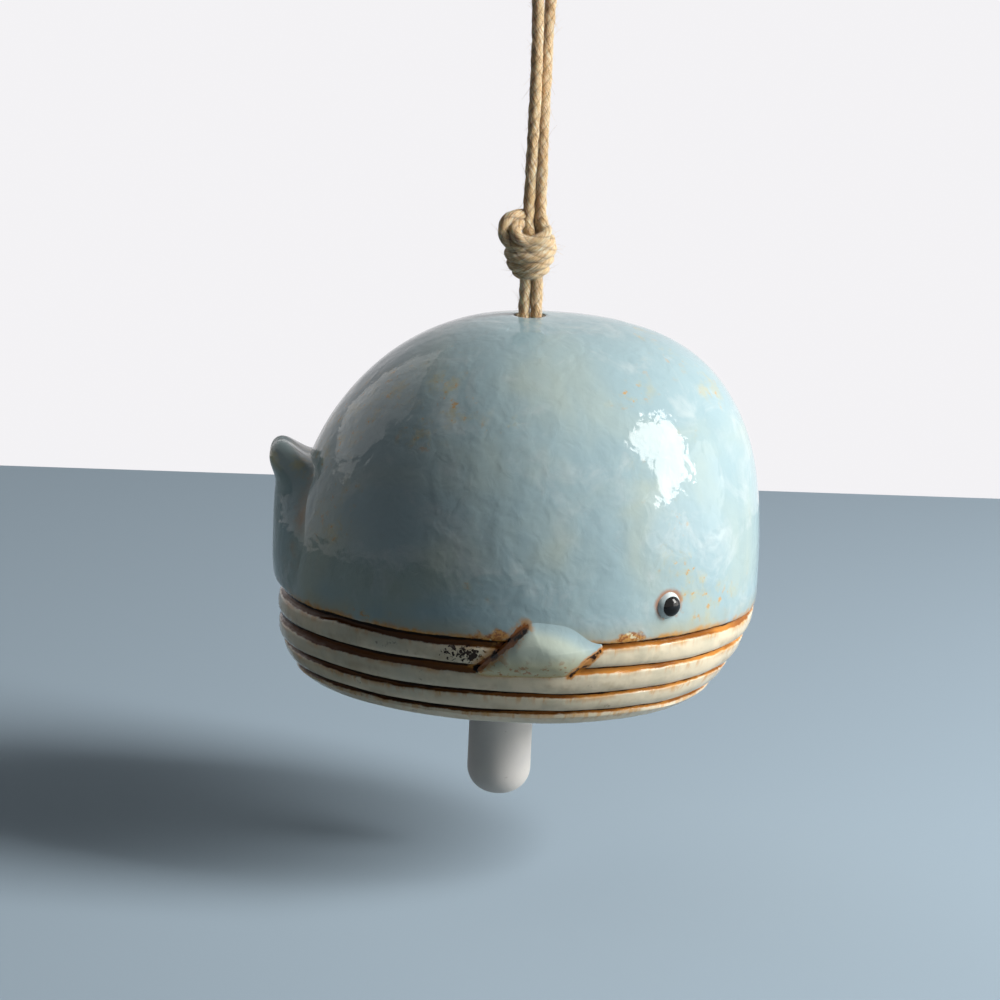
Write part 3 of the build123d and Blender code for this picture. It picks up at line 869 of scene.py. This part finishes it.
def press_stains(paint, colour):
    """Dark glaze pooled along the flipper's rear crease and an orange crack along its front one."""
    coarse = paint.noise(235, 3.0, 0.6)
    rear = ragged_edge(paint, ragged_edge(paint, paint.attr("crease"), 1.8, 150), 1.7, 420)
    spatter = paint.rise(paint.noise(300, 4.0, 0.65), 0.42, 0.56)
    colour = paint.mix(paint.times(paint.rise(rear, 2.6, 1.0, 0.0, 0.75), spatter), colour, OCHRE)
    pool = paint.mix(paint.rise(coarse, 0.42, 0.6), RUST, UMBER)
    colour = paint.mix(paint.rise(rear, 1.05, 0.65, 0.0, 0.95), colour, pool)
    pits = paint.times(paint.rise(rear, 0.85, 0.5), paint.rise(coarse, 0.5, 0.56))
    colour = paint.mix(pits, colour, BLACK)
    front = ragged_edge(paint, ragged_edge(paint, paint.attr("crack"), 2.2, 190), 1.6, 420)
    colour = paint.mix(paint.rise(front, 1.2, 0.5, 0.0, 0.9), colour, rgb(196, 130, 56))
    split = paint.times(paint.rise(front, 0.5, 0.2), paint.rise(coarse, 0.42, 0.52))
    return paint.mix(split, colour, rgb(52, 32, 18))


def shell_paint():
    paint = Paint("whale_glaze", **GLAZE)
    drop, band, inside, channel = (paint.attr(name) for name in ("drop", "band", "inside", "channel"))
    on_belly = paint.rise(band, 0.45, 0.55)
    coarse = paint.noise(60, 3.0, 0.55)
    # Dome, with an ochre haze that frays upwards from the mouth line
    dome = blue_glaze(paint)
    fringe = ragged_edge(paint, drop, 3.0, 340)
    haze = paint.times(paint.rise(drop, -6.0, -0.3), paint.rise(coarse, 0.4, 0.62))
    dome = paint.mix(paint.times(haze, 0.5), dome, rgb(186, 172, 128))
    burnt = paint.times(paint.rise(fringe, -1.8, -0.1), paint.rise(coarse, 0.38, 0.55))
    dome = paint.mix(burnt, dome, OCHRE)
    # Belly bands: cream, with grey-green veils and brown dust
    curds = paint.noise(120, 4.0, 0.6, warp=0.5)
    belly = paint.mix(paint.rise(curds, 0.42, 0.7), CREAM, rgb(208, 200, 176))
    belly = paint.mix(paint.rise(paint.noise(42, 3.0), 0.5, 0.68, 0.0, 0.55), belly, rgb(192, 194, 178))
    dust = paint.rise(paint.noise(420, 3.0, 0.65), 0.58, 0.7)
    dust = paint.times(dust, paint.rise(paint.noise(70, 2.0), 0.52, 0.64))
    belly = paint.mix(paint.times(dust, 0.6), belly, UMBER)
    drip = paint.noise(1.0, 3.0, 0.6, paint.stretch((520, 520, 60)))
    runs = paint.times(paint.rise(drop, 3.6, 1.2), paint.rise(drip, 0.5, 0.66, 0.0, 0.6))
    belly = paint.mix(runs, belly, OCHRE)
    # Channels between the bands: rust glaze, and black under the upper lip, partly pooled glaze and partly
    # painted shade
    depth = paint.less(ragged_edge(paint, drop, 0.8, 420), channel)
    bleed = paint.rise(paint.noise(110, 3.0, 0.6), 0.45, 0.62)
    bleed = paint.times(paint.rise(depth, 1.6, 0.0, 0.0, 0.6), bleed)
    belly = paint.mix(bleed, belly, OCHRE)
    # Painted shade: each band darkens in patches towards its lower edge, where it turns in under the next
    # channel
    lower_band_shade = paint.times(paint.rise(drop, 2.6, 4.6), paint.rise(paint.noise(95, 4.0, 0.65), 0.46, 0.66))
    belly = paint.mix(paint.times(lower_band_shade, 0.45), belly, rgb(160, 140, 104))
    # Painted shade: towards the tail end, the whale's shaded side, the channel floors turn dark brown and the
    # black lips widen
    tail_end_shade = paint.rise(paint.attr("back"), 24.0, -26.0)
    floor = paint.mix(paint.rise(coarse, 0.4, 0.6), rgb(198, 134, 64), rgb(150, 92, 40))
    floor = paint.mix(paint.times(tail_end_shade, 0.85), floor, rgb(78, 42, 17))
    pit = paint.rise(depth, 0.25, -0.12)
    belly = paint.mix(pit, belly, floor)
    # Black under each upper lip: pooled glaze, with painted shade under the overhang
    lip = paint.sum(ragged_edge(paint, drop, 0.7), paint.times(paint.less(coarse, 0.5), 1.6))
    lip = paint.less(lip, paint.times(tail_end_shade, 0.4))
    belly = paint.mix(paint.rise(lip, 0.5, 0.22, 0.0, 0.95), belly, rgb(40, 23, 13))
    colour = paint.mix(on_belly, dome, belly)
    # Mouth line: a thin uneven black line on the dome's lower lip
    line = ragged_edge(paint, paint.size(drop), 0.9)
    colour = paint.mix(paint.rise(line, 0.5, 0.22), colour, BLACK)
    # A blistered patch behind the flipper, the flipper's creases and a ring under the eye
    lace = paint.noise(1050, 2.0, 0.5, warp=0.9)
    blister = paint.rise(ragged_edge(paint, paint.attr("blister"), 0.7), 1.1, 0.3, 0.0, 0.16)
    boil = paint.mix(paint.rise(paint.sum(lace, blister), 0.6, 0.66), colour, rgb(52, 36, 24))
    colour = paint.mix(paint.times(paint.rise(blister, 0.02, 0.05), on_belly), colour, boil)
    smear = paint.rise(ragged_edge(paint, paint.attr("smear"), 1.0), 1.1, 0.2, 0.0, 0.22)
    scum = paint.mix(paint.rise(lace, 0.44, 0.58), OCHRE, RUST)
    scum = paint.mix(paint.rise(paint.noise(900, 2.0), 0.6, 0.66), scum, rgb(226, 214, 176))
    cover = paint.rise(paint.sum(curds, smear), 0.6, 0.72, 0.0, 0.9)
    cover = paint.times(cover, paint.rise(smear, 0.01, 0.06))
    colour = paint.mix(paint.times(cover, paint.rise(band, 0.55, 0.45)), colour, scum)
    colour = press_stains(paint, colour)
    ring = ragged_edge(paint, paint.attr("eye"), 1.6)
    stain = paint.times(paint.rise(ring, 4.4, 3.2, 0.0, 0.75), paint.rise(paint.noise(170, 3.0), 0.44, 0.58))
    colour = paint.mix(stain, colour, RUST)
    # Cavity: thin blue-grey glaze over buff clay
    hollow = paint.mix(paint.rise(paint.noise(90, 4.0), 0.4, 0.65), rgb(196, 184, 160), rgb(160, 172, 170))
    colour = paint.mix(inside, colour, hollow)
    paint.set("Base Color", colour)
    paint.set("Roughness", paint.rise(inside, 0.0, 1.0, 0.06, 0.5))
    paint.set("Specular IOR Level", paint.rise(paint.times(pit, on_belly), 0.0, 1.0, GLOSS, DULL))
    paint.set("Normal", glaze_bump(paint))
    return paint


def tail_paint():
    paint = Paint("tail_glaze", **GLAZE)
    colour = blue_glaze(paint)
    root = ragged_edge(paint, paint.attr("proud"), 2.4)
    thin = paint.rise(paint.noise(60, 3.0), 0.42, 0.6)
    colour = paint.mix(paint.times(paint.rise(root, 1.6, 0.2, 0.0, 0.6), thin), colour, OCHRE)
    rise = paint.attr("rise")
    # Painted light: a pale yellow glow over the top of the tail's lobes
    lobe_top_glow = paint.times(paint.rise(rise, 48.0, 52.0), paint.rise(paint.noise(140, 3.0), 0.45, 0.6))
    colour = paint.mix(paint.times(lobe_top_glow, 0.6), colour, rgb(214, 202, 140))
    foot = ragged_edge(paint, rise, 1.2)
    colour = paint.mix(paint.rise(foot, 22.4, 21.9), colour, BLACK)
    paint.set("Base Color", colour)
    paint.set("Normal", glaze_bump(paint))
    return paint


def flipper_paint():
    paint = Paint("flipper_glaze", **GLAZE)
    rise = paint.attr("rise")
    clouds = paint.noise(80, 3.0, 0.5)
    leaf = paint.mix(paint.rise(clouds, 0.4, 0.62), rgb(184, 196, 184), rgb(196, 203, 184))
    leaf = paint.mix(paint.rise(rise, 20.5, 14.0, 0.0, 0.85), leaf, rgb(190, 184, 142))
    upper = paint.times(paint.rise(paint.attr("proud"), 1.9, 0.4), paint.rise(rise, 17.5, 21.0))
    colour = paint.mix(upper, leaf, blue_glaze(paint))
    low = paint.times(paint.rise(rise, 20.0, 14.5), paint.rise(clouds, 0.36, 0.52))
    specks = paint.times(paint.rise(paint.noise(560, 3.0, 0.6), 0.55, 0.64), low)
    colour = paint.mix(paint.times(specks, 0.8), colour, RUST)
    foot = ragged_edge(paint, rise, 1.4)
    colour = paint.mix(paint.rise(foot, 14.0, 13.0, 0.0, 0.45), colour, OCHRE)
    paint.set("Base Color", press_stains(paint, colour))
    paint.set("Normal", glaze_bump(paint))
    return paint


def eye_paint():
    paint = Paint("eye_glaze", **GLAZE)
    turn = paint.attr("turn")
    ragged = paint.noise(500, 4.0, 0.6)
    colour = paint.mix(paint.rise(paint.noise(200, 3.0), 0.4, 0.65), rgb(214, 224, 226), rgb(190, 208, 212))
    edge = paint.sum(turn, paint.times(paint.less(ragged, 0.5), 0.5))
    colour = paint.mix(paint.rise(edge, 1.3, 1.65, 0.0, 0.7), colour, RUST)
    paint.set("Base Color", colour)
    paint.set("Normal", glaze_bump(paint))
    return paint


def pupil_paint():
    paint = Paint("pupil_glaze", Roughness=0.05, Specular_IOR_Level=0.3)
    colour = paint.mix(paint.rise(paint.noise(700, 3.0), 0.55, 0.75), rgb(14, 13, 13), rgb(40, 32, 26))
    paint.set("Base Color", colour)
    paint.set("Normal", paint.bump(paint.noise(300, 2.0), 0.1, 0.0003))
    return paint


def porcelain_paint():
    paint = Paint("porcelain", Roughness=0.55, IOR=1.45, Specular_IOR_Level=0.35)
    tone = paint.noise(60, 3.0, 0.5)
    colour = paint.mix(paint.rise(tone, 0.38, 0.66), rgb(236, 233, 228), rgb(226, 224, 222))
    dust = paint.rise(paint.noise(900, 2.0, 0.5), 0.72, 0.78)
    colour = paint.mix(paint.times(dust, 0.35), colour, rgb(150, 140, 128))
    paint.set("Base Color", colour)
    paint.set("Roughness", paint.rise(tone, 0.3, 0.7, 0.5, 0.68))
    paint.set("Normal", paint.bump(paint.noise(500, 4.0, 0.6), 0.12, 0.0003))
    return paint


def dress(piece, body, node):
    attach(piece, body)
    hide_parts(node)


FLIPPER_PAINT, EYE_PAINT, PUPIL_PAINT = flipper_paint(), eye_paint(), pupil_paint()
dress(make_shell(shell_paint()), "bell", "bell_shell")
dress(make_tail(tail_paint()), "bell", "tail")
for side, word in ((-1, "right"), (1, "left")):
    leaf = make_flipper(f"{word}_flipper_leaf", side, FLIPPER_PAINT)
    dress(leaf, "bell", f"{word}_flipper")
    dress(make_eye(f"{word}_eye_ball", side, EYE_PAINT), "bell", f"{word}_eye")
    dress(make_pupil(f"{word}_pupil_bead", side, PUPIL_PAINT), "bell", f"{word}_pupil")
dress(make_clapper(porcelain_paint()), "striker", "clapper")

# Light: a tall window to the whale's right, pale walls beside it and behind, a dim sky and a white room
BELL_MIDDLE, DAYLIGHT = Vector((0, 0, -0.125)), (1.0, 0.98, 0.95)
SKY, SKY_STRENGTH, ROOM_WHITE = (0.86, 0.93, 1.0, 1), 0.025, (0.90, 0.89, 0.91, 1)
FLOOR_STRAY, FLOOR_SEEN, FLOOR_HALF = (0.22, 0.26, 0.29, 1), (0.38, 0.48, 0.57, 1), 1.2
FLOOR_Z = -210 * MM
FLOOR_BACK = 410 * MM
# Name, azimuth from the front and elevation in degrees, distance, width and height in metres, watts
LIGHTS = (
    ("window", 73, 32, 1.0, 0.38, 0.60, 14.8),
    ("side_wall", 78, 9, 1.2, 1.1, 0.6, 6.5),
    ("far_wall", 232, 28, 1.2, 0.9, 0.7, 2.2),
)


def seen_rays(nodes, links):
    """A node output that is 1 for what the camera sees, also in a reflection, and 0 for stray light."""
    path = nodes.new("ShaderNodeLightPath")
    mirrored = nodes.new("ShaderNodeMath")
    mirrored.operation = "MAXIMUM"
    links.new(path.outputs["Is Glossy Ray"], mirrored.inputs[0])
    links.new(path.outputs["Is Transmission Ray"], mirrored.inputs[1])
    seen = nodes.new("ShaderNodeMath")
    seen.operation = "MAXIMUM"
    links.new(path.outputs["Is Camera Ray"], seen.inputs[0])
    links.new(mirrored.outputs[0], seen.inputs[1])
    return seen.outputs[0]


def make_stage():
    scene = bpy.context.scene
    scene.view_settings.view_transform = "Standard"
    world = bpy.data.worlds.new("room")
    scene.world = world
    world.use_nodes = True
    nodes, links = world.node_tree.nodes, world.node_tree.links
    nodes.clear()
    out = nodes.new("ShaderNodeOutputWorld")
    mix = nodes.new("ShaderNodeMixShader")
    sky = nodes.new("ShaderNodeBackground")
    sky.inputs["Color"].default_value = SKY
    sky.inputs["Strength"].default_value = SKY_STRENGTH
    wall = nodes.new("ShaderNodeBackground")
    wall.inputs["Color"].default_value = ROOM_WHITE
    links.new(seen_rays(nodes, links), mix.inputs[0])
    links.new(sky.outputs[0], mix.inputs[1])
    links.new(wall.outputs[0], mix.inputs[2])
    links.new(mix.outputs[0], out.inputs[0])

    for name, azimuth, elevation, distance, width, height, energy in LIGHTS:
        way = Vector((
            math.sin(math.radians(azimuth)) * math.cos(math.radians(elevation)),
            -math.cos(math.radians(azimuth)) * math.cos(math.radians(elevation)),
            math.sin(math.radians(elevation)),
        ))
        light = bpy.data.objects.new(name, bpy.data.lights.new(name, "AREA"))
        light.data.shape = "RECTANGLE"
        light.data.size, light.data.size_y = width, height
        light.data.energy = energy
        light.data.color = DAYLIGHT
        light.location = BELL_MIDDLE + way * distance
        light.rotation_euler = (-way).to_track_quat("-Z", "Y").to_euler()
        scene.collection.objects.link(light)

    mesh = bpy.data.meshes.new("floor")
    left, right = -FLOOR_HALF, FLOOR_HALF
    corners = ((left, -FLOOR_HALF), (right, -FLOOR_HALF), (right, FLOOR_BACK), (left, FLOOR_BACK))
    mesh.from_pydata([(x, y, FLOOR_Z) for x, y in corners], [], [(0, 1, 2, 3)])
    floor = bpy.data.objects.new("floor", mesh)
    scene.collection.objects.link(floor)
    paint = bpy.data.materials.new("floor_paint")
    paint.use_nodes = True
    surface = paint.node_tree.nodes["Principled BSDF"]
    surface.inputs["Roughness"].default_value = 0.8
    surface.inputs["Specular IOR Level"].default_value = 0.05
    nodes, links = paint.node_tree.nodes, paint.node_tree.links
    tone = nodes.new("ShaderNodeMix")
    tone.data_type = "RGBA"
    tone.inputs[6].default_value = FLOOR_STRAY
    tone.inputs[7].default_value = FLOOR_SEEN
    links.new(seen_rays(nodes, links), tone.inputs[0])
    links.new(tone.outputs[2], surface.inputs["Base Color"])
    mesh.materials.append(paint)


make_stage()
